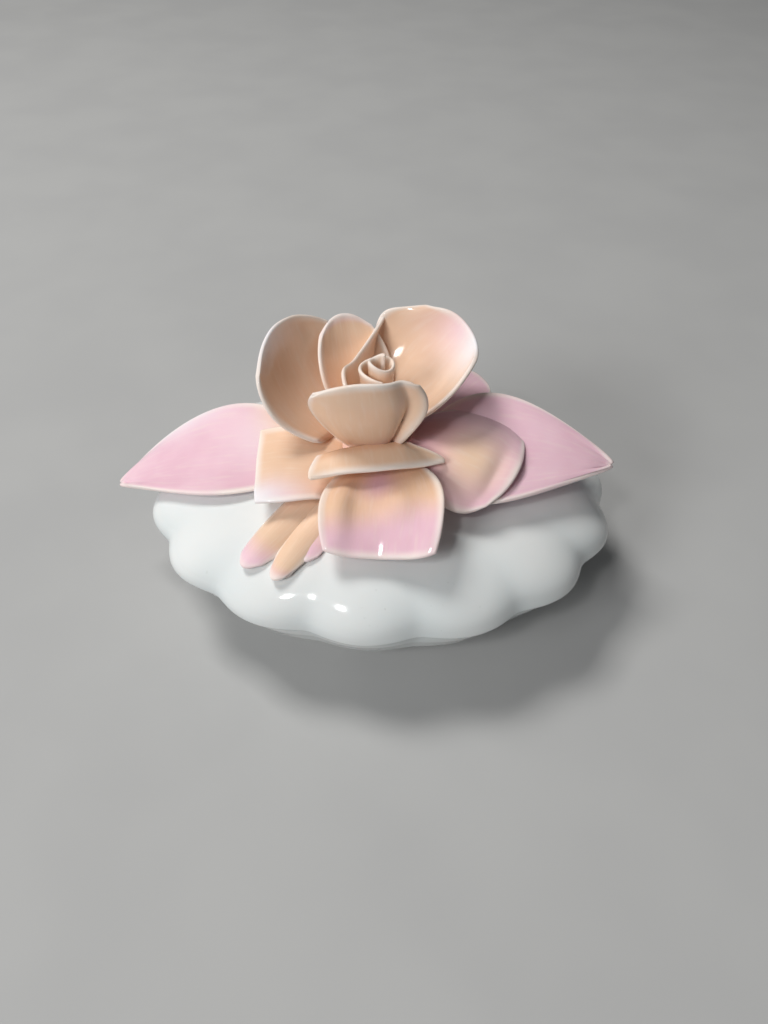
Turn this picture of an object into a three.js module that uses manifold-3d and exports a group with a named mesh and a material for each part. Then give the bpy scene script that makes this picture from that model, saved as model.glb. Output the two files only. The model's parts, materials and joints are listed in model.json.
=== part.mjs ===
// Porcelain trinket box: an oval, softly scalloped bowl under a domed lift-off lid that carries
// a hand-built rose with two leaves and a curled bud. Millimetres, +Z up, table at z = 0,
// +X along the long axis, -Y towards the front.
import * as THREE from 'three';
import { ParametricGeometry } from 'three/addons/geometries/ParametricGeometry.js';
import { mergeGeometries, mergeVertices } from 'three/addons/utils/BufferGeometryUtils.js';
import Module from 'manifold-3d';

// Body: the oval that the lobes' crests touch, and its heights
const BODY_X = 4;             // the body's axis; the left leaf overhangs more than the right one
const HALF_LENGTH = 46;
const HALF_WIDTH = 36;
const RIM_Z = 18;             // widest level of the lid
const DOME_RISE = 12;
const LOBES = 14;
const LOBE_PHASE = THREE.MathUtils.degToRad(9);
const LOBE_DEPTH = 0.043;     // valley depth as a share of the radius
const VALLEY_SOFTNESS = 0.22; // 0 would leave a crease between lobes
const SEGMENTS = 70;          // steps around the body, five to a lobe
const GAP = 0.3;              // clearance between neighbouring pieces

// Walls, mouth and locating flange
const MOUTH_HALF_LENGTH = 39;
const MOUTH_HALF_WIDTH = 30;
const SEAM_Z = 16.6;          // top face of the bowl
const SEAM_GAP = 0.25;        // between the bowl's top face and the lid's rim face
const FLANGE_CLEARANCE = 0.6;
const FLANGE_WALL = 2;
const FLANGE_DROP = 3;
const LID_WALL = 3;
const FLOOR_Z = 4;
const RECESS_Z = 1.4;         // underside inside the foot ring

// Flower
const FLOWER_X = BODY_X - 2;
const PETAL_THICK = 1.6;      // at the middle of a petal
const RIM_THICK = 1;          // just inside a petal's edge
const COIL_RADIUS = 1.1;
const COIL_GROWTH = 2.3;      // radius gained from the coil's inner edge to its outer edge
const COIL_TURNS = 1.4;
const COIL_SHIFT = 1.4;       // the coil stands a little to the right of the flower's middle
const COIL_THICK = 0.9;
const COIL_BASE_Z = 36.5;
const COIL_HEIGHT = 15.6;
const COIL_START = THREE.MathUtils.degToRad(136);
const WRAP_START = THREE.MathUtils.degToRad(225);
const WRAP_END = THREE.MathUtils.degToRad(84);

const WHITE = { color: '#e4ebeb', roughness: 0.08, metalness: 0 };
const PEACH = { color: '#e6bf9b', roughness: 0.12, metalness: 0 };
const PINK = { color: '#ecc0cf', roughness: 0.12, metalness: 0 };

const wasm = await Module();
wasm.setup();

// One closed surface with shared vertices; triangles that collapsed at a pole or edge are left out.
function weld(geometry) {
  geometry.deleteAttribute('normal');
  geometry.deleteAttribute('uv');
  const merged = mergeVertices(geometry, 1e-3);
  const index = merged.index.array;
  const kept = [];
  for (let i = 0; i < index.length; i += 3) {
    const [a, b, c] = index.slice(i, i + 3);
    if (a !== b && b !== c && c !== a) {
      kept.push(a, b, c);
    }
  }
  merged.setIndex(kept);
  return merged;
}

function solid(geometry) {
  const vertProperties = new Float32Array(geometry.attributes.position.array);
  const triVerts = new Uint32Array(geometry.index.array);
  const body = new wasm.Manifold(new wasm.Mesh({ numProp: 3, vertProperties, triVerts }));
  return body;
}

// Cuts every cutter from the body and keeps the largest piece that is left.
function cutAway(body, cutters) {
  const rest = cutters.reduce((left, cutter) => left.subtract(cutter), body);
  const pieces = rest.decompose();
  return pieces.reduce((best, piece) => (piece.volume() > best.volume() ? piece : best));
}

function toGeometry(body) {
  const mesh = body.getMesh();
  const geometry = new THREE.BufferGeometry();
  geometry.setAttribute('position', new THREE.BufferAttribute(mesh.vertProperties, 3));
  geometry.setIndex(new THREE.BufferAttribute(mesh.triVerts, 1));
  return geometry;
}

function namedMesh(name, geometry, finish) {
  geometry.computeVertexNormals();
  const mesh = new THREE.Mesh(geometry, new THREE.MeshStandardMaterial(finish));
  mesh.name = name;
  return mesh;
}

// ---- Lobed oval body ---------------------------------------------------------------------------

function lobeFactor(angle, depth) {
  const wave = Math.hypot(Math.cos((LOBES / 2) * (angle - LOBE_PHASE)), VALLEY_SOFTNESS);
  const highest = Math.hypot(1, VALLEY_SOFTNESS);
  return 1 - (depth * (highest - wave)) / (highest - VALLEY_SOFTNESS);
}

// A ring is { a, b, z, depth }: half-axes, height and lobe depth. Rings run from pole to pole.
function ringSurface(rings) {
  const place = (u, v, target) => {
    const ring = rings[Math.round(v * (rings.length - 1))];
    const angle = u * 2 * Math.PI;
    const factor = lobeFactor(angle, ring.depth);
    target.set(
      BODY_X + ring.a * factor * Math.cos(angle),
      ring.b * factor * Math.sin(angle),
      ring.z,
    );
  };
  const surface = new ParametricGeometry(place, SEGMENTS, rings.length - 1);
  surface.index.array.reverse();
  return weld(surface);
}

const bodyRing = (scale, z, depth = LOBE_DEPTH) => (
  { a: HALF_LENGTH * scale, b: HALF_WIDTH * scale, z, depth }
);
const mouthRing = (inset, z) => (
  { a: MOUTH_HALF_LENGTH - inset, b: MOUTH_HALF_WIDTH - inset, z, depth: 0 }
);
const pole = (z) => ({ a: 0, b: 0, z, depth: 0 });

// Rings of the domed top from the apex to the widest level, larger by grow.
function domeRings(grow) {
  const shares = [0, 0.16, 0.32, 0.48, 0.62, 0.74, 0.84, 0.92, 1];
  return shares.map((share) => {
    const turn = (share * Math.PI) / 2;
    const reach = Math.sin(turn);
    const z = RIM_Z + grow + DOME_RISE * Math.cos(turn);
    return {
      a: (HALF_LENGTH + grow) * reach,
      b: (HALF_WIDTH + grow) * reach,
      z,
      depth: LOBE_DEPTH * reach ** 3,
    };
  });
}

function lidShell() {
  const rimFace = SEAM_Z + SEAM_GAP;
  const flangeInset = FLANGE_CLEARANCE + FLANGE_WALL;
  const innerRise = RIM_Z + DOME_RISE - LID_WALL - rimFace;
  const innerRings = [1, 0.92, 0.78, 0.6, 0.38, 0].map((reach) => ({
    a: (MOUTH_HALF_LENGTH - flangeInset) * reach,
    b: (MOUTH_HALF_WIDTH - flangeInset) * reach,
    z: rimFace + innerRise * (1 - reach ** 2.4) ** 0.5,
    depth: 0,
  }));
  return ringSurface([
    ...domeRings(0),
    bodyRing(0.988, RIM_Z - 0.7),
    bodyRing(0.955, rimFace),
    mouthRing(FLANGE_CLEARANCE, rimFace),
    mouthRing(FLANGE_CLEARANCE, SEAM_Z - FLANGE_DROP),
    mouthRing(flangeInset, SEAM_Z - FLANGE_DROP),
    ...innerRings,
  ]);
}

// The domed top as one lump, used to trim whatever stands on the lid.
function domeLump() {
  return ringSurface([...domeRings(GAP), bodyRing(0.9, SEAM_Z), pole(SEAM_Z)]);
}

function baseBowl() {
  const foot = (scale, z) => bodyRing(scale, z, 0);
  return ringSurface([
    pole(FLOOR_Z),
    mouthRing(19, FLOOR_Z),
    mouthRing(11, FLOOR_Z + 0.8),
    mouthRing(5.5, FLOOR_Z + 3.2),
    mouthRing(1.8, FLOOR_Z + 7),
    mouthRing(0, FLOOR_Z + 10.6),
    mouthRing(0, SEAM_Z),
    bodyRing(0.955, SEAM_Z),
    bodyRing(0.92, 13, LOBE_DEPTH * 0.8),
    bodyRing(0.86, 9, LOBE_DEPTH * 0.55),
    bodyRing(0.775, 5, LOBE_DEPTH * 0.3),
    bodyRing(0.7, 2, LOBE_DEPTH * 0.1),
    foot(0.68, 0.6),
    foot(0.66, 0),
    foot(0.6, 0),
    foot(0.58, RECESS_Z),
    pole(RECESS_Z),
  ]);
}

// ---- Thin sheets: petals, leaves and the heart -----------------------------------------------

// Half-thickness share: full inside, rounded off to nothing at the sheet's edge.
function edgeRounding(u, v) {
  const e = Math.min((Math.abs(u) ** 3 + v ** 3) ** (1 / 3), 1);
  const inner = Math.max(e, 1 - v);
  return Math.abs(u) >= 1 || v <= 0 || v >= 1 ? 0 : Math.sqrt(Math.max(1 - inner ** 9, 0.16));
}

// A closed sheet around the surface middle(u, v), u in [-1, 1] across and v in [0, 1] along.
// grow makes it larger all round, for cutting its neighbours clear.
function sheet(middle, thick, rimThick, slices, stacks, grow = 0) {
  const STEP = 1e-3;
  const reach = 1 + grow / 8;
  const side = (sign) => (s, t, target) => {
    const u = Math.sin((s - 0.5) * Math.PI);
    const v = Math.sin((t * Math.PI) / 2);
    const at = (du, dv) => middle((u + du) * reach, (v + dv) * reach);
    const across = at(STEP, 0).sub(at(-STEP, 0));
    const along = at(0, STEP).sub(at(0, -STEP));
    const normal = across.cross(along).normalize();
    const share = Math.max(Math.abs(u), v) ** 2;
    const half = (thick + (rimThick - thick) * share) / 2 + grow;
    target.copy(at(0, 0)).addScaledVector(normal, sign * half * edgeRounding(u, v));
  };
  const front = new ParametricGeometry(side(1), slices, stacks);
  const back = new ParametricGeometry(side(-1), slices, stacks);
  back.index.array.reverse();
  return weld(mergeGeometries([front, back]));
}

const PETAL_DEFAULTS = {
  baseHalfWidth: 3,      // at the root
  cup: 14,               // radius that the petal is bowed to across its width
  cornerCut: 0.3,        // how much shorter the sides are than the middle
  cornerPower: 2.4,
  tipWidth: 0.7,         // width at the end as a share of the widest
  widest: 0.65,          // share of the length where it is widest
  flare: 0.9,
  roll: 0,               // turn about the petal's own length, degrees
  shift: 0,              // sideways
  sway: 0,               // sideways bend towards the end
  pointed: false,
  dents: [],             // [u, v, spreadU, spreadV, inward millimetres]
  trims: [],             // [u, spread, share of the length cut from the end there]
  widen: [],             // [side, v, spread, extra half-width] on one side only
};

function petalWidth(p, v) {
  if (p.pointed) {
    const run = THREE.MathUtils.clamp(v, 0, 1) ** (Math.log(0.5) / Math.log(p.widest));
    const swell = Math.sin(Math.PI * run);
    return p.baseHalfWidth * (1 - v) + p.halfWidth * Math.max(swell, 0) ** 0.8 + 0.3;
  }
  if (v < p.widest) {
    const opening = Math.sin((Math.PI / 2) * Math.max(v / p.widest, 0)) ** p.flare;
    return p.baseHalfWidth + (p.halfWidth - p.baseHalfWidth) * opening;
  }
  const past = (v - p.widest) / (1 - p.widest);
  return p.halfWidth * (1 - (1 - p.tipWidth) * past ** 2);
}

const hill = (distance, spread) => Math.exp(-((distance / spread) ** 2));

// Half-width at (u, v) with the one-sided changes added.
function sideWidth(p, u, v) {
  return p.widen.reduce((width, [side, place, spread, extra]) => (
    width + extra * THREE.MathUtils.smoothstep(side * u, 0, 1) * hill(v - place, spread)
  ), petalWidth(p, v));
}

// A petal leaves the flower's axis at baseRadius and baseHeight. Its middle line leans from
// leanStart to leanEnd degrees off the vertical over its length, which is an arc.
function petalSurface(shape) {
  const p = { ...PETAL_DEFAULTS, ...shape };
  const azimuth = THREE.MathUtils.degToRad(p.azimuth);
  const start = THREE.MathUtils.degToRad(p.leanStart);
  const sweep = THREE.MathUtils.degToRad(p.leanEnd) - start;
  const roll = THREE.MathUtils.degToRad(p.roll);
  return (u, v) => {
    const corner = p.pointed
      ? p.cornerCut * u ** 2 * (1 - v) * v * 2
      : p.cornerCut * Math.abs(u) ** p.cornerPower * Math.max(v, 0) ** 1.5;
    const trimmed = p.trims.reduce((total, [place, spread, share]) => (
      total + share * hill(u - place, spread) * THREE.MathUtils.clamp(v, 0, 1) ** 1.5
    ), corner);
    const run = v * (1 - trimmed);
    const lean = start + sweep * run;
    const radius = p.baseRadius + (p.length * (Math.cos(start) - Math.cos(lean))) / sweep;
    const height = p.baseHeight + (p.length * (Math.sin(lean) - Math.sin(start))) / sweep;
    const bow = (u * sideWidth(p, u, v)) / p.cup;
    const flatSide = p.cup * Math.sin(bow);
    const flatRise = p.cup * (1 - Math.cos(bow));
    const sideways = flatSide * Math.cos(roll) + flatRise * Math.sin(roll) + p.shift + p.sway * v * v;
    const inwards = p.dents.reduce((rise, [placeU, placeV, spreadU, spreadV, depth]) => (
      rise + depth * hill(u - placeU, spreadU) * hill(v - placeV, spreadV)
    ), flatRise * Math.cos(roll) - flatSide * Math.sin(roll));
    const out = radius - inwards * Math.cos(lean);
    return new THREE.Vector3(
      FLOWER_X + out * Math.cos(azimuth) - sideways * Math.sin(azimuth),
      out * Math.sin(azimuth) + sideways * Math.cos(azimuth),
      height + inwards * Math.sin(lean),
    );
  };
}

const between = THREE.MathUtils.lerp;

function aroundFlower(angle, radius, z) {
  const x = FLOWER_X + radius * Math.cos(angle);
  return new THREE.Vector3(x, radius * Math.sin(angle), z);
}

const CUP_RIGHT = {
  azimuth: 28, baseRadius: 2.5, baseHeight: 36, length: 24.5, halfWidth: 14, leanStart: 76,
  leanEnd: 31, cup: 15, cornerCut: 0.1, cornerPower: 2, tipWidth: 0.66, widest: 0.54, shift: 3,
  trims: [[0.6, 0.45, -0.05]], widen: [[-1, 0.6, 0.35, -1.0], [1, 0.72, 0.28, 2.6]],
};

const cupRight = petalSurface(CUP_RIGHT);

// The heart is one strip wound outwards in a spiral that opens slightly upwards.
function coilSurface(u, v) {
  const along = (u + 1) / 2;
  const angle = COIL_START + along * COIL_TURNS * 2 * Math.PI;
  const radius = (COIL_RADIUS + COIL_GROWTH * along) * (0.72 + 0.28 * v);
  const point = aroundFlower(angle, radius, COIL_BASE_Z + (COIL_HEIGHT - 2.2 * along) * v);
  return point.setX(point.x + COIL_SHIFT);
}

// A broad strip hugs the coil from the front left, then swings out to lie along the cup petal
// on the right.
function wrapSurface(u, v) {
  const along = (u + 1) / 2;
  const angle = between(WRAP_START, WRAP_END, along);
  const rimRadius = between(4.9, 14, Math.max(along, 0) ** 6);
  const radius = between(3.6, rimRadius, Math.max(v, 0) ** 1.3);
  const slope = between(13, 11.4, along) * (1 - 0.25 * (1 - along) ** 6);
  const rimHeight = slope + 1.1 * hill(along - 0.36, 0.26);
  const around = aroundFlower(angle, radius, COIL_BASE_Z - 0.5 + rimHeight * v);
  const share = THREE.MathUtils.smoothstep(along, 0.7, 1);
  return around.lerp(cupRight(0.97, 0.04 + 0.62 * v), share);
}

// Low cone that the petals are luted to. Its foot reaches into the dome and is trimmed to it.
function padGeometry(grow = 0) {
  const outline = [
    [0, 24], [11.5, 24], [11.5, 29], [10, 30.5], [7, 32.5], [4.6, 35], [3.2, 38], [0, 39],
  ];
  const points = outline.map(([r, z]) => new THREE.Vector2(r === 0 ? 0 : r + grow, z + grow));
  const lathe = new THREE.LatheGeometry(points, 20);
  lathe.rotateX(Math.PI / 2);
  lathe.translate(FLOWER_X, 0, 0);
  return weld(lathe);
}

// From the heart outwards: each piece is trimmed to the ones before it.
const PETALS = [
  ['cup_front', PEACH, {
    azimuth: 280, baseRadius: 4, baseHeight: 34.5, length: 20.5, halfWidth: 11,
    baseHalfWidth: 2.5, leanStart: 34, leanEnd: -4, cup: 16, cornerCut: 0.17, cornerPower: 2.2,
    tipWidth: 0.85, widest: 0.7, flare: 1, roll: 6, shift: -0.8, sway: -1.5,
    dents: [[0.62, 0.6, 0.15, 0.4, 1.3], [1.0, 0.6, 0.18, 0.4, -1.8]],
    trims: [[1.0, 0.35, -0.06], [-1.0, 0.3, 0.04]],
    widen: [[-1, 0.5, 0.22, 1.0], [1, 0.42, 0.24, -2.4]],
  }],
  ['cup_back', PEACH, {
    azimuth: 112, baseRadius: 3.5, baseHeight: 34.5, length: 21.5, halfWidth: 7.8, leanStart: 52,
    leanEnd: 30, cup: 12, cornerCut: 0.15, cornerPower: 2, tipWidth: 0.7, widest: 0.5, roll: -6,
    shift: -0.5,
  }],
  ['cup_left', PEACH, {
    azimuth: 140, baseRadius: 5, baseHeight: 35, length: 24.2, halfWidth: 11.5, baseHalfWidth: 5,
    leanStart: 68, leanEnd: 4, cup: 24, cornerCut: 0.16, cornerPower: 2.2, tipWidth: 0.83,
    widest: 0.5, flare: 0.8, shift: 3.5, trims: [[1.0, 0.5, 0.1]],
  }],
  ['mid_front', PEACH, {
    azimuth: 284, baseRadius: 6.5, baseHeight: 38, length: 6.8, halfWidth: 12.4,
    baseHalfWidth: 10, leanStart: 80, leanEnd: 106, cup: -60, cornerCut: 0.06, cornerPower: 3,
    tipWidth: 0.97, widest: 0.8, roll: 1, shift: -1.4, trims: [[-1.0, 0.8, 0.2]],
    widen: [[1, 0.1, 0.4, -3.0]],
  }],
  ['outer_left', PEACH, {
    azimuth: 181, baseRadius: 5, baseHeight: 32, length: 16.4, halfWidth: 9, baseHalfWidth: 7,
    leanStart: 72, leanEnd: 104, cup: 34, cornerCut: 0.04, cornerPower: 3, tipWidth: 0.96,
    widest: 0.75, roll: 7, shift: 7,
  }],
  ['outer_front', PINK, {
    azimuth: 268, baseRadius: 6.5, baseHeight: 33, length: 20.8, halfWidth: 11.2,
    baseHalfWidth: 5, leanStart: 72, leanEnd: 126, cup: 28, cornerCut: 0.05, cornerPower: 4,
    tipWidth: 0.88, widest: 0.6, roll: -8, shift: 3,
    dents: [[-0.68, 0.55, 0.16, 0.22, 1.1], [0.26, 0.56, 0.24, 0.14, 1.2]],
  }],
  ['outer_right', PINK, {
    azimuth: 338, baseRadius: 7, baseHeight: 35.6, length: 21.5, halfWidth: 13.4,
    baseHalfWidth: 5, leanStart: 80, leanEnd: 110, cup: -30, cornerCut: 0.12, tipWidth: 0.76,
    widest: 0.68, roll: -5, shift: 2.6,
    dents: [[-0.25, 0.83, 0.5, 0.08, -0.8], [-0.2, 1.0, 0.6, 0.1, 0.6]],
  }],
  ['outer_back', PINK, {
    azimuth: 44, baseRadius: 6, baseHeight: 31, length: 24, halfWidth: 10, baseHalfWidth: 4,
    leanStart: 76, leanEnd: 88, cup: 24, cornerCut: 0.14, cornerPower: 2, tipWidth: 0.7,
    widest: 0.45,
  }],
  ['outer_back_left', PINK, {
    azimuth: 112, baseRadius: 6, baseHeight: 31, length: 21, halfWidth: 11, baseHalfWidth: 4,
    leanStart: 72, leanEnd: 96, cup: 24, cornerCut: 0.14, cornerPower: 2, tipWidth: 0.7,
    widest: 0.5,
  }],
  ['leaf_left', PINK, {
    azimuth: 178, baseRadius: 8, baseHeight: 28.8, length: 45.5, halfWidth: 9.5, leanStart: 80,
    leanEnd: 125, cup: 32, widest: 0.52, roll: 12, pointed: true,
  }],
  ['leaf_right', PINK, {
    azimuth: -8, baseRadius: 8, baseHeight: 30.3, length: 38.4, halfWidth: 11, leanStart: 73,
    leanEnd: 108, cup: 36, widest: 0.45, roll: -14, sway: 4, pointed: true,
  }],
  ['bud_core', PEACH, {
    azimuth: 244, baseRadius: 10, baseHeight: 30.6, length: 17.5, halfWidth: 3.4,
    baseHalfWidth: 2.4, leanStart: 94, leanEnd: 112, cup: -3.4, cornerCut: 0.1, cornerPower: 2,
    tipWidth: 0.55, widest: 0.4, shift: 0.5,
  }],
  ['bud_petal_left', PEACH, {
    azimuth: 229, baseRadius: 10, baseHeight: 31, length: 24, halfWidth: 4.8, baseHalfWidth: 3,
    leanStart: 94, leanEnd: 114, cup: -4.4, cornerCut: 0.1, cornerPower: 2, tipWidth: 0.52,
    widest: 0.4, shift: -0.5,
  }],
  ['bud_petal_right', PEACH, {
    azimuth: 236, baseRadius: 10, baseHeight: 31, length: 23, halfWidth: 3.8, baseHalfWidth: 2.6,
    leanStart: 94, leanEnd: 114, cup: -3.8, cornerCut: 0.1, cornerPower: 2, tipWidth: 0.52,
    widest: 0.4, shift: 1.8,
  }],
];

function flowerMeshes() {
  const cutters = [solid(domeLump())];
  const meshes = [];
  const place = (name, finish, build) => {
    meshes.push(namedMesh(name, toGeometry(cutAway(build(0), cutters)), finish));
    cutters.push(build(GAP));
  };
  place('flower_pad', PEACH, (grow) => solid(padGeometry(grow)));
  place('heart_coil', PEACH, (grow) => (
    solid(sheet(coilSurface, COIL_THICK, COIL_THICK, 28, 4, grow))
  ));
  const placePetal = (name, finish, surface) => {
    const [slices, stacks] = name.startsWith('bud') ? [6, 6] : [10, 8];
    place(name, finish, (grow) => (
      solid(sheet(surface, PETAL_THICK, RIM_THICK, slices, stacks, grow))
    ));
  };
  placePetal('cup_right', PEACH, cupRight);
  place('heart_wrap', PEACH, (grow) => (
    solid(sheet(wrapSurface, RIM_THICK, RIM_THICK, 12, 6, grow))
  ));
  for (const [name, finish, shape] of PETALS) {
    placePetal(name, finish, petalSurface(shape));
  }
  return meshes;
}

const box = new THREE.Group();
box.add(namedMesh('base_bowl', baseBowl(), WHITE));
box.add(namedMesh('lid_shell', lidShell(), WHITE));
box.add(...flowerMeshes());

export default box;
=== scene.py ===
"""Porcelain trinket box with a hand-built rose on its lid: fine meshes and glazed porcelain.

Lengths are worked out in millimetres and turned into metres when a mesh is made.
+X runs along the box, +Y away from the viewer, +Z up, and the table is at z = 0.
"""
import json
import math

import bpy
import numpy as np
from mathutils import Matrix, Vector


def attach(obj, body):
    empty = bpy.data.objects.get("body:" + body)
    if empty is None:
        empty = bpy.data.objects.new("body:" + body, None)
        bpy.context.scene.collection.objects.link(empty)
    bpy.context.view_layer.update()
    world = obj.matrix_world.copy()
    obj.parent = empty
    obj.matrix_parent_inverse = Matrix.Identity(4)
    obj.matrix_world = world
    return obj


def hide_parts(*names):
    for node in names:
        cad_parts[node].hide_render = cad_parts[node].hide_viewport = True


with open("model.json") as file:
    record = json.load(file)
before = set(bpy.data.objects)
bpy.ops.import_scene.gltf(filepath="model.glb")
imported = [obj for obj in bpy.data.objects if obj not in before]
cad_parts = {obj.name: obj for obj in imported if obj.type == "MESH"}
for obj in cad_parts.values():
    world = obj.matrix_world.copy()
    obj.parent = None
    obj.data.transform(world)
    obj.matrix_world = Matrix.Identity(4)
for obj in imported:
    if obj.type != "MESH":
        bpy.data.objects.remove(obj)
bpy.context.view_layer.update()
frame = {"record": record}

MM = 0.001

# ---- Driving dimensions -----------------------------------------------------------------------
BODY_X = 4.0
HALF_LENGTH = 46.0
HALF_WIDTH = 36.0
RIM_Z = 18.0
DOME_RISE = 12.0
LOBES = 14
LOBE_PHASE = math.radians(9)
LOBE_DEPTH = 0.043
VALLEY_SOFTNESS = 0.22        # 0 would leave a crease between lobes
MOUTH_HALF_LENGTH = 39.0
MOUTH_HALF_WIDTH = 30.0
SEAM_Z = 16.6
SEAM_GAP = 0.25
FLANGE_CLEARANCE = 0.6
FLANGE_WALL = 2.0
FLANGE_DROP = 3.0
LID_WALL = 3.0
FLOOR_Z = 4.0
RECESS_Z = 1.4

FLOWER_X = BODY_X - 2.0
PETAL_THICK = 1.5
RIM_THICK = 0.8
RIM_ROUND = 0.55              # how far in from its edge a sheet reaches its full rim thickness
COIL_BASE_Z = 36.5
COIL_SHIFT = 1.4              # the coil stands a little to the right of the flower's middle
COIL_START = math.radians(10)
COIL_TURNS = 1.75
COIL_RADIUS = 0.8
COIL_GROWTH = 2.6             # radius gained from the coil's inner edge to its outer edge
COIL_HEIGHT = 16.0
COIL_DROP = 2.6               # height lost from its inner edge to its outer edge
WRAP_START = math.radians(225)
WRAP_END = math.radians(84)
WRAP_FOOT_RADIUS = 3.6
WRAP_RIM_RADIUS = 4.9
WRAP_END_RADIUS = 14.0

BODY_SEGMENTS = 14 * 18
SLICES = 46                   # steps across a petal, on each face
STACKS = 34                   # steps along a petal


# ---- Small numeric helpers --------------------------------------------------------------------
def smoothstep(low, high, value):
    t = np.clip((value - low) / (high - low), 0.0, 1.0)
    return t * t * (3.0 - 2.0 * t)


def bump(u, v, u0, v0, spread_u, spread_v):
    """A soft hill of height 1 at (u0, v0) on a sheet."""
    return np.exp(-((u - u0) / spread_u) ** 2 - ((v - v0) / spread_v) ** 2)


def wobble(x, y, seed):
    """Smooth unevenness between about -1 and 1, the same every time."""
    total = np.zeros_like(x)
    for k in range(1, 4):
        angle = seed * 2.399 + k * 1.9
        total += np.sin(k * 2.1 * (x * math.cos(angle) + y * math.sin(angle)) + seed * 1.7 * k) / k
    return total / 1.83


# ---- Mesh making ------------------------------------------------------------------------------
def add_object(name, points, faces, attributes=None):
    """A smooth-shaded mesh object from millimetre points, with one float attribute per entry."""
    mesh = bpy.data.meshes.new(name)
    mesh.from_pydata((np.asarray(points) * MM).tolist(), [], faces)
    mesh.validate()
    for key, values in (attributes or {}).items():
        layer = mesh.attributes.new(key, "FLOAT", "POINT")
        layer.data.foreach_set("value", np.asarray(values, dtype=np.float32).ravel())
    mesh.polygons.foreach_set("use_smooth", [True] * len(mesh.polygons))
    piece = bpy.data.objects.new(name, mesh)
    bpy.context.scene.collection.objects.link(piece)
    return piece


def finish_piece(piece, node, material):
    """Puts the piece in its CAD node's place, on its body and its material."""
    bodies = frame["record"]["behaviour"]["bodies"]
    body = next(key for key, nodes in bodies.items() if node in nodes)
    piece.data.materials.append(material)
    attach(piece, body)
    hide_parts(node)


def grid_faces(index, flip=False):
    """Quads over a 2-D array of vertex numbers."""
    a, b, c, d = index[:-1, :-1], index[:-1, 1:], index[1:, 1:], index[1:, :-1]
    order = (d, c, b, a) if flip else (a, b, c, d)
    quads = np.stack([part.ravel() for part in order], axis=1)
    return [tuple(dict.fromkeys(quad)) for quad in quads.tolist()]


# ---- Body: the bowl and the lid ---------------------------------------------------------------
def lobe_factor(angle, depth):
    """1 on a lobe's crest and 1 - depth in the soft valleys between lobes."""
    wave = np.sqrt(np.cos(LOBES / 2 * (angle - LOBE_PHASE)) ** 2 + VALLEY_SOFTNESS ** 2)
    lowest, highest = VALLEY_SOFTNESS, math.hypot(1.0, VALLEY_SOFTNESS)
    return 1.0 - depth * (highest - wave) / (highest - lowest)


def body_ring(scale, z, depth=LOBE_DEPTH, bare=0.0):
    """A ring of the scalloped outline, scaled from its widest level."""
    return (HALF_LENGTH * scale, HALF_WIDTH * scale, z, depth, bare)


def mouth_ring(inset, z, bare=0.0):
    """A plain oval ring, this far inside the bowl's mouth."""
    return (MOUTH_HALF_LENGTH - inset, MOUTH_HALF_WIDTH - inset, z, 0.0, bare)


def rounded(profile, radius, steps=6):
    """The profile with every inner corner turned into a short curve."""
    points = [np.array(p, dtype=float) for p in profile]
    result = [points[0]]
    for before, corner, after in zip(points, points[1:], points[2:]):
        ends = []
        for other in (before, after):
            reach = np.linalg.norm((other - corner)[[0, 2]])
            ends.append(corner + (other - corner) * min(radius / max(reach, 1e-6), 0.49))
        for t in np.linspace(0.0, 1.0, steps):
            result.append((1 - t) ** 2 * ends[0] + 2 * t * (1 - t) * corner + t * t * ends[1])
    result.append(points[-1])
    return np.array(result)


def close_rings(points, top, bottom):
    """Points and outward faces of a closed surface: rings of points from its top pole down."""
    rings, count = points.shape[:2]
    index = np.arange(rings * count).reshape(rings, count)
    index = np.hstack([index, index[:, :1]])
    faces = grid_faces(index, flip=True)
    points = np.vstack([points.reshape(-1, 3), top, bottom])
    first, last = index[0].tolist(), index[-1].tolist()
    faces += [(rings * count, i, j) for i, j in zip(first, first[1:])]
    faces += [(rings * count + 1, j, i) for i, j in zip(last, last[1:])]
    return points, faces


def ring_object(name, rings, seed):
    """A closed surface through rings, pole to pole.

    A ring is its half-length, half-width, z, lobe depth, and 1 where it is left unglazed.
    """
    angle = np.arange(BODY_SEGMENTS) * 2 * math.pi / BODY_SEGMENTS
    a, b, z, depth = (rings[:, k][:, None] for k in range(4))
    factor = lobe_factor(angle[None, :], depth)
    factor = factor * (1.0 + 0.0025 * wobble(np.cos(angle), np.sin(angle), seed)[None, :])
    x = BODY_X + a * factor * np.cos(angle)
    y = b * factor * np.sin(angle)
    height = np.broadcast_to(z, x.shape)
    valley = np.broadcast_to(1.0 - (factor - factor.min(axis=1, keepdims=True))
                             / np.maximum(np.ptp(factor, axis=1)[:, None], 1e-6), x.shape)
    valley = valley * np.clip(depth / LOBE_DEPTH, 0.0, 1.0)
    bare = np.broadcast_to(rings[:, 4][:, None], x.shape)
    points, faces = close_rings(np.stack([x, y, height], axis=-1)[1:-1],
                                [BODY_X, 0, rings[0, 2]], [BODY_X, 0, rings[-1, 2]])
    attributes = {"valley": np.append(valley[1:-1].ravel(), [0.0, 0.0]),
                  "bare": np.append(bare[1:-1].ravel(), [0.0, 0.0])}
    return add_object(name, points, faces, attributes)


def dome_rings(steps=52):
    turn = np.linspace(0.0, math.pi / 2, steps)
    reach = np.sin(turn)
    return np.stack([HALF_LENGTH * reach, HALF_WIDTH * reach, RIM_Z + DOME_RISE * np.cos(turn),
                     LOBE_DEPTH * reach ** 4, 0 * reach], axis=1)


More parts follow.
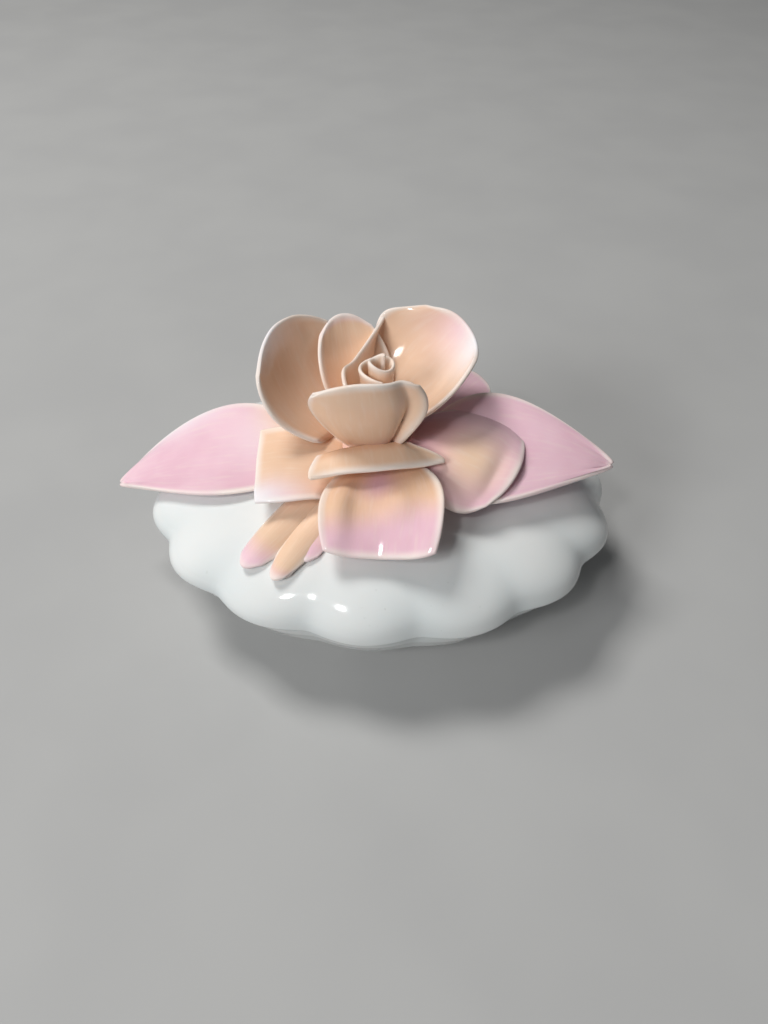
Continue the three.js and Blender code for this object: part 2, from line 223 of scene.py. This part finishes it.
def make_lid():
    rim_face = SEAM_Z + SEAM_GAP
    inset = FLANGE_CLEARANCE + FLANGE_WALL
    inner_rise = RIM_Z + DOME_RISE - LID_WALL - rim_face
    edge = rounded([
        body_ring(1.0, RIM_Z),
        body_ring(0.992, RIM_Z - 0.6),
        body_ring(0.955, rim_face),
        body_ring(0.945, rim_face, LOBE_DEPTH, 1.0),
        mouth_ring(FLANGE_CLEARANCE, rim_face, 1.0),
        mouth_ring(FLANGE_CLEARANCE, SEAM_Z - FLANGE_DROP),
        mouth_ring(inset, SEAM_Z - FLANGE_DROP),
        mouth_ring(inset, rim_face - 0.2),
    ], 0.5)
    reach = np.cos(np.linspace(0.0, math.pi / 2, 24))
    inner = np.stack([(MOUTH_HALF_LENGTH - inset) * reach, (MOUTH_HALF_WIDTH - inset) * reach,
                      rim_face + inner_rise * (1 - reach ** 2.4) ** 0.5, 0 * reach, 0 * reach],
                     axis=1)
    return ring_object("lid_dome", np.vstack([dome_rings()[:-1], edge, inner]), 1)


def make_bowl():
    profile = rounded([
        (0.0, 0.0, FLOOR_Z, 0.0, 0.0),
        mouth_ring(19, FLOOR_Z),
        mouth_ring(11, FLOOR_Z + 0.8),
        mouth_ring(5.5, FLOOR_Z + 3.2),
        mouth_ring(1.8, FLOOR_Z + 7),
        mouth_ring(0, FLOOR_Z + 10.6),
        mouth_ring(0, SEAM_Z, 1.0),
        body_ring(0.945, SEAM_Z, LOBE_DEPTH, 1.0),
        body_ring(0.955, SEAM_Z),
        body_ring(0.92, 13, LOBE_DEPTH * 0.8),
        body_ring(0.86, 9, LOBE_DEPTH * 0.55),
        body_ring(0.775, 5, LOBE_DEPTH * 0.3),
        body_ring(0.7, 2, LOBE_DEPTH * 0.1),
        body_ring(0.68, 0.6, 0.0, 0.2),
        body_ring(0.66, 0.0, 0.0, 1.0),
        body_ring(0.60, 0.0, 0.0, 1.0),
        body_ring(0.58, RECESS_Z, 0.0),
        (0.0, 0.0, RECESS_Z, 0.0, 0.0),
    ], 0.6)
    return ring_object("bowl", profile, 2)


# ---- Thin sheets: petals, leaves, heart and bud -------------------------------------------------
def sheet_object(name, middle, node, thick=PETAL_THICK, rim=RIM_THICK,
                 slices=SLICES, stacks=STACKS):
    """A closed sheet around middle(u, v), u from -1 to 1 across and v from 0 to 1 along.

    The mesh carries how pink each point is painted, how far it fades to white (in places a painted
    highlight), how much darker it is painted near the root (a deeper glaze colour and painted
    shade), its distances from the free edge and from the root in millimetres, and its place across
    the sheet.
    """
    s, t = np.meshgrid(np.linspace(-1, 1, slices + 1), np.linspace(0, 1, stacks + 1))
    u, v = np.sin(s * math.pi / 2), np.sin(t * math.pi / 2)
    step = 1e-3
    centre = middle(u, v)
    across = middle(u + step, v) - middle(u - step, v)
    along = middle(u, v + step) - middle(u, v - step)
    normal = np.cross(across, along)
    normal /= np.maximum(np.linalg.norm(normal, axis=-1, keepdims=True), 1e-9)

    steps_u = np.linalg.norm(np.diff(centre, axis=1), axis=-1)
    steps_v = np.linalg.norm(np.diff(centre, axis=0), axis=-1)
    from_left = np.hstack([np.zeros((len(u), 1)), np.cumsum(steps_u, axis=1)])
    from_side = np.minimum(from_left, from_left[:, -1:] - from_left)
    from_root = np.vstack([np.zeros((1, u.shape[1])), np.cumsum(steps_v, axis=0)])
    from_tip = from_root[-1:] - from_root
    inward = np.minimum(from_side, from_tip)

    half = (rim + (thick - rim) * smoothstep(0.0, 5.0, inward)) / 2
    nearest = np.minimum(inward, from_root)
    half = half * np.sqrt(np.clip(1 - (1 - np.minimum(nearest / RIM_ROUND, 1)) ** 2, 0, 1))
    front = centre + normal * half[..., None]
    back = centre - normal * half[..., None]

    inner = np.zeros(u.shape, dtype=bool)
    inner[1:-1, 1:-1] = True
    front_index = np.arange(u.size).reshape(u.shape)
    back_index = front_index.copy()
    back_index[inner] = u.size + np.arange(inner.sum())
    points = np.vstack([front.reshape(-1, 3), back[inner]])
    faces = grid_faces(front_index) + grid_faces(back_index, flip=True)
    layers = {
        "blush": BLUSH.get(node, plain)(u, v),
        "pale_and_highlight": PALE_AND_HIGHLIGHT.get(node, plain)(u, v),
        "edge_mm": inward,
        "root_mm": from_root,
        # Painted darker near the root: a deeper glaze colour and painted shade where petals
        # overlap.
        "throat_and_shade": 1 - smoothstep(1, THROAT_SHADE_MM.get(node, 9), from_root),
        "across": u,
    }
    attributes = {key: np.append(layer.ravel(), layer[inner]) for key, layer in layers.items()}
    return add_object(name, points, faces, attributes)


PETAL_DEFAULTS = {
    "base_half_width": 3.0,   # at the root
    "cup": 14.0,              # radius that the petal is bowed to across its width
    "corner_cut": 0.3,        # how much shorter the sides are than the middle
    "corner_power": 2.4,
    "tip_width": 0.7,         # width at the end as a share of the widest
    "widest": 0.65,           # share of the length where it is widest
    "flare": 0.9,
    "roll": 0.0,              # turn about the petal's own length, degrees
    "shift": 0.0,             # sideways
    "sway": 0.0,              # sideways bend towards the end
    "pointed": False,
    "waves": 0.35,            # unevenness of the rim
    "seed": 1.0,
    "dents": (),              # (u, v, spread_u, spread_v, inward millimetres)
    "trims": (),              # (u, spread, share of the length cut from the end there)
    "widen": (),              # (side, v, spread, extra half-width) on one side only
}


def petal_width(p, v):
    if p["pointed"]:
        run = np.clip(v, 0, 1) ** (math.log(0.5) / math.log(p["widest"]))
        swell = np.maximum(np.sin(math.pi * run), 0)
        return p["base_half_width"] * (1 - v) + p["half_width"] * swell ** 0.8 + 0.3
    opening = np.sin(math.pi / 2 * np.clip(v / p["widest"], 0, 1)) ** p["flare"]
    below = p["base_half_width"] + (p["half_width"] - p["base_half_width"]) * opening
    past = (v - p["widest"]) / (1 - p["widest"])
    above = p["half_width"] * (1 - (1 - p["tip_width"]) * past ** 2)
    return np.where(v < p["widest"], below, above)


def petal_surface(shape):
    """The middle surface of a petal, with its dents, trims and waves.

    Its middle line leans from lean_start to lean_end, in degrees off the vertical, along an arc.
    """
    p = {**PETAL_DEFAULTS, **shape}
    azimuth, roll = math.radians(p["azimuth"]), math.radians(p["roll"])
    start = math.radians(p["lean_start"])
    sweep = math.radians(p["lean_end"]) - start

    def middle(u, v):
        if p["pointed"]:
            corner = p["corner_cut"] * u ** 2 * (1 - v) * v * 2
        else:
            corner = p["corner_cut"] * np.abs(u) ** p["corner_power"] * np.maximum(v, 0) ** 1.5
        for place, spread, share in p["trims"]:
            near = np.exp(-((u - place) / spread) ** 2)
            corner = corner + share * near * np.clip(v, 0, 1) ** 1.5
        run = v * (1 - corner)
        lean = start + sweep * run
        radius = p["base_radius"] + p["length"] * (math.cos(start) - np.cos(lean)) / sweep
        height = p["base_height"] + p["length"] * (np.sin(lean) - math.sin(start)) / sweep
        width = petal_width(p, v)
        for side, place, spread, extra in p["widen"]:
            near = np.exp(-((v - place) / spread) ** 2)
            width = width + extra * smoothstep(0, 1, side * u) * near
        bow = u * width / p["cup"]
        flat_side = p["cup"] * np.sin(bow)
        flat_rise = p["cup"] * (1 - np.cos(bow))
        sideways = flat_side * math.cos(roll) + flat_rise * math.sin(roll)
        sideways = sideways + p["shift"] + p["sway"] * v * v
        inwards = flat_rise * math.cos(roll) - flat_side * math.sin(roll)
        for place_u, place_v, spread_u, spread_v, depth in p["dents"]:
            inwards = inwards + depth * bump(u, v, place_u, place_v, spread_u, spread_v)
        rim = np.clip((np.abs(u) ** 3 + np.clip(v, 0, 1.2) ** 3) ** (1 / 3), 0, 1.2) ** 3
        inwards = inwards + p["waves"] * rim * wobble(2.2 * u, 2.0 * v, p["seed"])
        out = radius - inwards * np.cos(lean)
        return np.stack([
            FLOWER_X + out * math.cos(azimuth) - sideways * math.sin(azimuth),
            out * math.sin(azimuth) + sideways * math.cos(azimuth),
            height + inwards * np.sin(lean),
        ], axis=-1)

    return middle


def around_flower(angle, radius, z):
    z = np.broadcast_to(z, np.broadcast(angle, radius).shape)
    return np.stack([FLOWER_X + radius * np.cos(angle), radius * np.sin(angle), z], axis=-1)


def coil_surface(u, v):
    """One strip wound outwards in a spiral that opens slightly upwards."""
    along = (u + 1) / 2
    angle = COIL_START + along * COIL_TURNS * 2 * math.pi
    opening = 0.72 + 0.28 * v + 0.12 * np.maximum(v, 0) ** 6
    radius = (COIL_RADIUS + COIL_GROWTH * along) * opening
    radius = radius * (1 + 0.05 * np.cos(2 * angle + 1) * along)
    height = (COIL_HEIGHT - COIL_DROP * along) * (1 + 0.02 * np.sin(2 * angle))
    return around_flower(angle, radius, COIL_BASE_Z + height * v) + [COIL_SHIFT, 0, 0]


def wrap_surface(u, v):
    """A broad strip that hugs the coil, then swings out to lie along the right-hand cup petal."""
    along = (u + 1) / 2
    angle = WRAP_START + (WRAP_END - WRAP_START) * along
    swing = (WRAP_END_RADIUS - WRAP_RIM_RADIUS) * np.maximum(along, 0) ** 6
    spread = (WRAP_RIM_RADIUS + swing - WRAP_FOOT_RADIUS) * np.maximum(v, 0) ** 1.3
    radius = WRAP_FOOT_RADIUS + spread
    rim_height = (13 - 1.6 * along) * (1 - 0.25 * (1 - along) ** 6)
    rim_height = rim_height + 1.1 * np.exp(-((along - 0.36) / 0.26) ** 2)
    around = around_flower(angle, radius, COIL_BASE_Z - 0.5 + rim_height * v)
    joined = petal_surface(PETALS["cup_right"])(0.97 + 0 * v, 0.04 + 0.62 * v)
    share = smoothstep(0.7, 1.0, along)[..., None]
    return around + (joined - around) * share


PETALS = {
    "cup_front": dict(
        azimuth=280, base_radius=4, base_height=34.5, length=20.5, half_width=11,
        base_half_width=2.5, lean_start=34, lean_end=-4, cup=16, corner_cut=0.17,
        corner_power=2.2, tip_width=0.85, widest=0.7, flare=1, roll=6, shift=-0.8, sway=-1.5,
        dents=((0.62, 0.6, 0.15, 0.4, 1.3), (1.0, 0.6, 0.18, 0.4, -1.8)),
        trims=((1.0, 0.35, -0.06), (-1.0, 0.3, 0.04)),
        widen=((-1, 0.5, 0.22, 1.0), (1, 0.42, 0.24, -2.4))),
    "cup_right": dict(
        azimuth=28, base_radius=2.5, base_height=36, length=24.5, half_width=14,
        lean_start=76, lean_end=31, cup=15, corner_cut=0.1, corner_power=2, tip_width=0.66,
        widest=0.54, shift=3, trims=((0.6, 0.45, -0.05),),
        widen=((-1, 0.6, 0.35, -1.0), (1, 0.72, 0.28, 2.6))),
    "cup_back": dict(
        azimuth=112, base_radius=3.5, base_height=34.5, length=21.5, half_width=7.8,
        lean_start=52, lean_end=30, cup=12, corner_cut=0.15, corner_power=2, tip_width=0.7,
        widest=0.5, roll=-6, shift=-0.5, waves=0.15),
    "cup_left": dict(
        azimuth=140, base_radius=5, base_height=35, length=24.2, half_width=11.5,
        base_half_width=5, lean_start=68, lean_end=4, cup=24, corner_cut=0.16,
        corner_power=2.2, tip_width=0.83, widest=0.5, flare=0.8, shift=3.5,
        trims=((1.0, 0.5, 0.1),), waves=0.15),
    "mid_front": dict(
        azimuth=284, base_radius=6.5, base_height=38, length=6.8, half_width=12.4,
        base_half_width=10, lean_start=80, lean_end=106, cup=-60, corner_cut=0.06,
        corner_power=3, tip_width=0.97, widest=0.8, roll=1, shift=-1.4,
        trims=((-1.0, 0.8, 0.2),), widen=((1, 0.1, 0.4, -3.0),)),
    "outer_left": dict(
        azimuth=181, base_radius=5, base_height=32, length=16.4, half_width=9,
        base_half_width=7, lean_start=72, lean_end=104, cup=34, corner_cut=0.04,
        corner_power=3, tip_width=0.96, widest=0.75, roll=7, shift=7),
    "outer_front": dict(
        azimuth=268, base_radius=6.5, base_height=33, length=20.8, half_width=11.2,
        base_half_width=5, lean_start=72, lean_end=126, cup=28, corner_cut=0.05,
        corner_power=4, tip_width=0.88, widest=0.6, roll=-8, shift=3,
        dents=((-0.68, 0.55, 0.16, 0.22, 1.1), (0.26, 0.56, 0.24, 0.14, 1.2))),
    "outer_right": dict(
        azimuth=338, base_radius=7, base_height=35.6, length=21.5, half_width=13.4,
        base_half_width=5, lean_start=80, lean_end=110, cup=-30, corner_cut=0.12,
        tip_width=0.76, widest=0.68, roll=-5, shift=2.6,
        dents=((-0.25, 0.83, 0.5, 0.08, -0.8), (-0.2, 1.0, 0.6, 0.1, 0.6))),
    "outer_back": dict(
        azimuth=44, base_radius=6, base_height=31, length=24, half_width=10,
        base_half_width=4, lean_start=76, lean_end=88, cup=24, corner_cut=0.14,
        corner_power=2, tip_width=0.7, widest=0.45),
    "outer_back_left": dict(
        azimuth=112, base_radius=6, base_height=31, length=21, half_width=11,
        base_half_width=4, lean_start=72, lean_end=96, cup=24, corner_cut=0.14,
        corner_power=2, tip_width=0.7, widest=0.5),
    "leaf_left": dict(
        azimuth=178, base_radius=8, base_height=28.8, length=45.5, half_width=9.5,
        lean_start=80, lean_end=125, cup=32, widest=0.52, roll=12, pointed=True),
    "leaf_right": dict(
        azimuth=-8, base_radius=8, base_height=30.3, length=38.4, half_width=11, lean_start=73,
        lean_end=108, cup=36, widest=0.45, roll=-14, sway=4, pointed=True),
    "bud_core": dict(
        azimuth=244, base_radius=10, base_height=30.6, length=17.5, half_width=3.4,
        base_half_width=2.4, lean_start=94, lean_end=112, cup=-3.4, corner_cut=0.1,
        corner_power=2, tip_width=0.55, widest=0.4, shift=0.5, waves=0.1),
    "bud_petal_left": dict(
        azimuth=229, base_radius=10, base_height=31, length=24, half_width=4.8,
        base_half_width=3, lean_start=94, lean_end=114, cup=-4.4, corner_cut=0.1,
        corner_power=2, tip_width=0.52, widest=0.4, shift=-0.5, waves=0.1),
    "bud_petal_right": dict(
        azimuth=236, base_radius=10, base_height=31, length=23, half_width=3.8,
        base_half_width=2.6, lean_start=94, lean_end=114, cup=-3.8, corner_cut=0.1,
        corner_power=2, tip_width=0.52, widest=0.4, shift=1.8, waves=0.1),
}


def plain(u, v):
    """No paint."""
    return 0.0 * u


# How pink each piece is painted at (u, v): 0 peach, 1 pink.
BLUSH = {
    "cup_front": lambda u, v: 0.8 * bump(u, v, 0.4, 0.1, 0.4, 0.2),
    "cup_right": lambda u, v: 0.9 * bump(u, v, 0.1, 1.05, 0.55, 0.3),
    "cup_back": lambda u, v: 0.8 * smoothstep(0.9, 1.0, v),
    "outer_left": lambda u, v: bump(u, v, 1.0, 0.85, 0.5, 0.45),
    "outer_front": lambda u, v: (smoothstep(0.45, 0.75, v - 0.1 * np.abs(u - 0.6))
                                 + 0.9 * bump(u, v, -0.1, 0.3, 0.3, 0.18)),
    "outer_right": lambda u, v: 1 - bump(u, v, -0.2, 0.6, 0.55, 0.3),
    "outer_back": lambda u, v: smoothstep(0.2, 0.5, v),
    "outer_back_left": lambda u, v: smoothstep(0.2, 0.5, v),
    "leaf_left": lambda u, v: smoothstep(0.1, 0.32, v + 0.15 * u),
    "leaf_right": lambda u, v: smoothstep(0.0, 0.15, v),
    "bud_petal_left": lambda u, v: smoothstep(0.7, 0.95, v),
    "bud_petal_right": lambda u, v: 0.7 * smoothstep(0.86, 1.0, v),
    "bud_core": lambda u, v: smoothstep(0.5, 0.9, v),
}

# How far from its root a piece is painted darker, where it differs from the usual 9 mm: a deeper
# glaze colour at the root and painted shade under the petals above it; outer_front's long reach is
# painted shadow under mid_front.
THROAT_SHADE_MM = {"outer_front": 28, "outer_right": 14, "mid_front": 3, "cup_back": 14, "cup_left": 8}

# How far the tint fades to white at (u, v): whitened tips, and a painted highlight on cup_left's
# top rim and on leaf_left's upper-left edge.
PALE_AND_HIGHLIGHT = {
    "cup_right": lambda u, v: bump(u, v, -0.5, 1.0, 0.45, 0.28),
    # Painted highlight along the top rim.
    "cup_left": lambda u, v: 0.9 * bump(u, v, 0.4, 1.0, 0.45, 0.13),
    "outer_left": lambda u, v: 0.9 * bump(u, v, 0.9, 0.95, 0.4, 0.3),
    # A light patch across the leaf, and a painted highlight along its upper-left edge.
    "leaf_left": lambda u, v: (0.35 * bump(u, v, -0.3, 0.3, 0.8, 0.12)
                               + 0.6 * bump(u, v, -1.0, 0.74, 0.4, 0.2)),
}


def make_pad():
    """The low cone of slip under the petals. Its foot sinks just into the dome."""
    outline = [(0, 39), (3.2, 38), (4.6, 35), (7, 32.5), (10, 30.4), (11.4, 29.2), (11.6, 28)]
    profile = rounded([(r, r, z) for r, z in outline] + [(0, 0, 28)], 1.2)
    count = 64
    angle = np.arange(count) * 2 * math.pi / count
    uneven = 1 + 0.03 * wobble(2 * np.cos(angle), 2 * np.sin(angle), 5)
    radius = profile[1:-1, 0][:, None] * uneven
    grid = around_flower(angle[None, :], radius, profile[1:-1, 2][:, None])
    points, faces = close_rings(grid, [FLOWER_X, 0, profile[0, 2]], [FLOWER_X, 0, profile[-1, 2]])
    even = np.ones(len(points))
    # The pad is painted darker all over like a petal's root: a deeper glaze colour and painted
    # shade.
    return add_object("slip_pad", points, faces,
                      {"blush": 0.3 * even, "pale_and_highlight": 0 * even, "edge_mm": 9 * even,
                       "root_mm": 4 * even, "throat_and_shade": 0.7 * even, "across": 0 * even})


# ---- Materials --------------------------------------------------------------------------------
class Nodes:
    """Short-hand for building a material's node tree."""

    def __init__(self, name):
        self.material = bpy.data.materials.new(name)
        self.material.use_nodes = True
        self.tree = self.material.node_tree
        self.shader = self.tree.nodes["Principled BSDF"]

    def add(self, kind, **settings):
        node = self.tree.nodes.new(kind)
        for key, value in settings.items():
            setattr(node, key, value)
        return node

    def link(self, source, target):
        self.tree.links.new(source, target)

    def attribute(self, name):
        return self.add("ShaderNodeAttribute", attribute_name=name).outputs["Fac"]

    def noise(self, scale, detail=3.0, roughness=0.5):
        node = self.add("ShaderNodeTexNoise")
        coordinates = self.add("ShaderNodeTexCoord")
        self.link(coordinates.outputs["Object"], node.inputs["Vector"])
        node.inputs["Scale"].default_value = scale
        node.inputs["Detail"].default_value = detail
        node.inputs["Roughness"].default_value = roughness
        return node.outputs["Fac"]

    def spread(self, value, low, high, to_low=0.0, to_high=1.0):
        node = self.add("ShaderNodeMapRange", interpolation_type="SMOOTHSTEP")
        self.link(value, node.inputs["Value"])
        for key, number in (("From Min", low), ("From Max", high),
                            ("To Min", to_low), ("To Max", to_high)):
            node.inputs[key].default_value = number
        return node.outputs["Result"]

    def streaks(self, across, along):
        """Noise drawn out from root to rim: its scale across the sheet and along it per mm."""
        place = self.add("ShaderNodeCombineXYZ")
        for name, scale, axis in (("across", across, "X"), ("root_mm", along, "Y")):
            scaled = self.add("ShaderNodeMath", operation="MULTIPLY")
            self.link(self.attribute(name), scaled.inputs[0])
            scaled.inputs[1].default_value = scale
            self.link(scaled.outputs[0], place.inputs[axis])
        node = self.add("ShaderNodeTexNoise")
        self.link(place.outputs["Vector"], node.inputs["Vector"])
        node.inputs["Scale"].default_value = 1.0
        node.inputs["Detail"].default_value = 3.0
        return node.outputs["Fac"]

    def combine(self, operation, first, second):
        node = self.add("ShaderNodeMath", operation=operation)
        self.link(first, node.inputs[0])
        self.link(second, node.inputs[1])
        return node.outputs[0]

    def product(self, first, second):
        return self.combine("MULTIPLY", first, second)

    def sum(self, first, second):
        return self.combine("ADD", first, second)

    def mix(self, factor, first, second):
        node = self.add("ShaderNodeMix", data_type="RGBA")
        self.link(factor, node.inputs["Factor"])
        for value, key in ((first, "A"), (second, "B")):
            socket = next(s for s in node.inputs if s.name == key and s.type == "RGBA")
            if isinstance(value, tuple):
                socket.default_value = (*value, 1.0)
            else:
                self.link(value, socket)
        return next(s for s in node.outputs if s.type == "RGBA")

    def bumps(self, heights):
        """Chains (height, distance in metres) into the shader's normal."""
        normal = None
        for height, distance in heights:
            node = self.add("ShaderNodeBump")
            node.inputs["Strength"].default_value = 1.0
            node.inputs["Distance"].default_value = distance
            self.link(height, node.inputs["Height"])
            if normal is not None:
                self.link(normal, node.inputs["Normal"])
            normal = node.outputs["Normal"]
        self.link(normal, self.shader.inputs["Normal"])


def glaze(nodes, roughness, matt=None):
    """Clear glaze over a slightly translucent porcelain body, matt where it was wiped off."""
    shader = nodes.shader
    shader.inputs["IOR"].default_value = 1.52
    shader.inputs["Subsurface Weight"].default_value = 0.15
    shader.inputs["Subsurface Radius"].default_value = (1.0, 0.8, 0.7)
    shader.inputs["Subsurface Scale"].default_value = 0.0012
    uneven = nodes.noise(240.0, 2.0)
    gloss = nodes.spread(uneven, 0.3, 0.7, roughness, roughness + 0.06)
    if matt is not None:
        gloss = nodes.sum(gloss, nodes.spread(matt, 0.3, 0.7, 0.0, 0.6))
    nodes.link(gloss, shader.inputs["Roughness"])


def white_porcelain():
    nodes = Nodes("white_porcelain")
    cloud = nodes.noise(38.0, 3.0)
    body = nodes.mix(nodes.spread(cloud, 0.35, 0.68), (0.80, 0.81, 0.80), (0.76, 0.785, 0.78))
    pooled = nodes.product(nodes.attribute("valley"), nodes.spread(cloud, 0.2, 0.8, 0.45, 0.9))
    tinted = nodes.mix(pooled, body, (0.69, 0.735, 0.74))
    specks = nodes.spread(nodes.noise(900.0, 1.0), 0.70, 0.78)
    speckled = nodes.mix(nodes.product(specks, nodes.spread(cloud, 0.5, 0.7, 0.0, 0.35)), tinted,
                         (0.50, 0.52, 0.50))
    bare = nodes.attribute("bare")
    biscuit = nodes.mix(nodes.spread(bare, 0.3, 0.7), speckled, (0.78, 0.76, 0.71))
    nodes.link(biscuit, nodes.shader.inputs["Base Color"])
    glaze(nodes, 0.07, bare)
    nodes.bumps([(nodes.noise(55.0, 2.0), 0.00022), (nodes.noise(420.0, 2.0), 0.000012)])
    return nodes.material


def petal_porcelain():
    nodes = Nodes("tinted_porcelain")
    cloud = nodes.noise(90.0, 3.0)
    brushed = nodes.streaks(14.0, 0.16)
    peach = nodes.mix(nodes.spread(cloud, 0.3, 0.7), (0.87, 0.63, 0.46), (0.82, 0.57, 0.40))
    pink = nodes.mix(nodes.spread(cloud, 0.3, 0.7), (0.86, 0.59, 0.67), (0.80, 0.51, 0.60))
    tint = nodes.mix(nodes.attribute("blush"), peach, pink)
    # Darker towards the root, brown on peach and mauve on pink: a deeper glaze colour and painted
    # shade.
    deep = nodes.product(nodes.attribute("throat_and_shade"), nodes.spread(brushed, 0.3, 0.7, 0.6, 0.95))
    root_shade_tint = nodes.mix(nodes.attribute("blush"), (0.72, 0.43, 0.27), (0.64, 0.35, 0.42))
    root_shaded = nodes.mix(deep, tint, root_shade_tint)
    streaked = nodes.mix(nodes.spread(brushed, 0.45, 0.75, 0.0, 0.22), root_shaded, (0.90, 0.76, 0.68))
    # Paler towards every free edge where the glaze runs thin, and partly a painted highlight on
    # the rims.
    edge = nodes.attribute("edge_mm")
    rim = nodes.product(nodes.spread(edge, 0.25, 1.8, 1.0, 0.0),
                        nodes.spread(cloud, 0.3, 0.65, 0.45, 0.9))
    rim_pale_and_highlight = nodes.mix(rim, streaked, (0.92, 0.83, 0.77))
    faded = nodes.mix(nodes.attribute("pale_and_highlight"), rim_pale_and_highlight, (0.90, 0.87, 0.89))
    nodes.link(faded, nodes.shader.inputs["Base Color"])
    glaze(nodes, 0.09)
    nodes.bumps([(brushed, 0.00002), (nodes.noise(130.0, 2.0), 0.0001),
                 (nodes.noise(500.0, 2.0), 0.00001)])
    return nodes.material


# ---- Setting ----------------------------------------------------------------------------------
def make_floor():
    bpy.ops.mesh.primitive_plane_add(size=6.0, location=(0, 0, 0))
    floor = bpy.context.object
    floor.name = "floor"
    nodes = Nodes("floor_paper")
    grain = nodes.noise(30.0, 2.0)
    colour = nodes.mix(nodes.spread(grain, 0.3, 0.7), (0.46, 0.46, 0.455), (0.44, 0.44, 0.437))
    nodes.link(colour, nodes.shader.inputs["Base Color"])
    nodes.shader.inputs["Roughness"].default_value = 0.7
    floor.data.materials.append(nodes.material)


def area_light(name, place, size, power, colour, mirrored=True, target=(0.0, 0.0, 0.025)):
    data = bpy.data.lights.new(name, "AREA")
    data.shape = "RECTANGLE"
    data.size, data.size_y = size
    data.energy = power
    data.color = colour
    lamp = bpy.data.objects.new(name, data)
    lamp.location = place
    aim = Vector(target) - Vector(place)
    lamp.rotation_euler = aim.to_track_quat("-Z", "Y").to_euler()
    lamp.visible_glossy = mirrored
    bpy.context.scene.collection.objects.link(lamp)


def make_lights():
    """A soft key from behind left, a lamp from the front left, and a small window.

    Only the window is mirrored in the glaze, as the sharp highlights.
    """
    area_light("key", (-0.38, 0.26, 0.88), (0.30, 0.30), 6.0, (1.0, 0.99, 0.97), mirrored=False)
    area_light("lamp", (-0.61, -0.60, 0.53), (0.34, 0.34), 4.6, (0.99, 1.0, 1.0), mirrored=False)
    area_light("window", (-0.32, -0.52, 0.76), (0.08, 0.09), 1.1, (1.0, 1.0, 1.0))
    world = bpy.data.worlds.new("studio")
    world.use_nodes = True
    background = world.node_tree.nodes["Background"]
    background.inputs["Color"].default_value = (0.85, 0.87, 0.89, 1.0)
    background.inputs["Strength"].default_value = 0.105
    bpy.context.scene.world = world


def make_camera():
    """A phone's main camera, 157 mm from the middle of the rim, looking down at 46.5 degrees."""
    pitch, roll = math.radians(46.5), math.radians(0.8)
    distance, slide_right, slide_down = 157.0, 0.6, 2.9
    forward = Vector((0.0, math.cos(pitch), -math.sin(pitch)))
    up = Vector((0.0, math.sin(pitch), math.cos(pitch)))
    target = Vector((BODY_X, 0.0, RIM_Z))
    place = target - forward * distance + Vector((slide_right, 0, 0)) - up * slide_down
    data = bpy.data.cameras.new("camera")
    data.sensor_width = 36.0
    data.lens = 27.0
    data.clip_start = 0.005
    camera = bpy.data.objects.new("camera", data)
    turn = Matrix.Rotation(math.pi / 2 - pitch, 4, "X") @ Matrix.Rotation(roll, 4, "Z")
    camera.matrix_world = Matrix.Translation(place * MM) @ turn
    bpy.context.scene.collection.objects.link(camera)
    bpy.context.scene.camera = camera


# ---- The object -------------------------------------------------------------------------------
def make_object():
    white, tinted = white_porcelain(), petal_porcelain()
    finish_piece(make_bowl(), "base_bowl", white)
    finish_piece(make_lid(), "lid_shell", white)
    finish_piece(make_pad(), "flower_pad", tinted)
    coil = sheet_object("rose_heart", coil_surface, "heart_coil", 0.8, 0.7, 120, 24)
    finish_piece(coil, "heart_coil", tinted)
    wrap = sheet_object("rose_wrap", wrap_surface, "heart_wrap", 1.0, 0.8, 60, 28)
    finish_piece(wrap, "heart_wrap", tinted)
    for seed, (node, shape) in enumerate(PETALS.items()):
        surface = petal_surface({"seed": seed + 1.0, **shape})
        piece = sheet_object("rose_" + node, surface, node)
        finish_piece(piece, node, tinted)


bpy.context.scene.view_settings.view_transform = "Standard"
make_camera()
make_lights()
make_floor()
make_object()
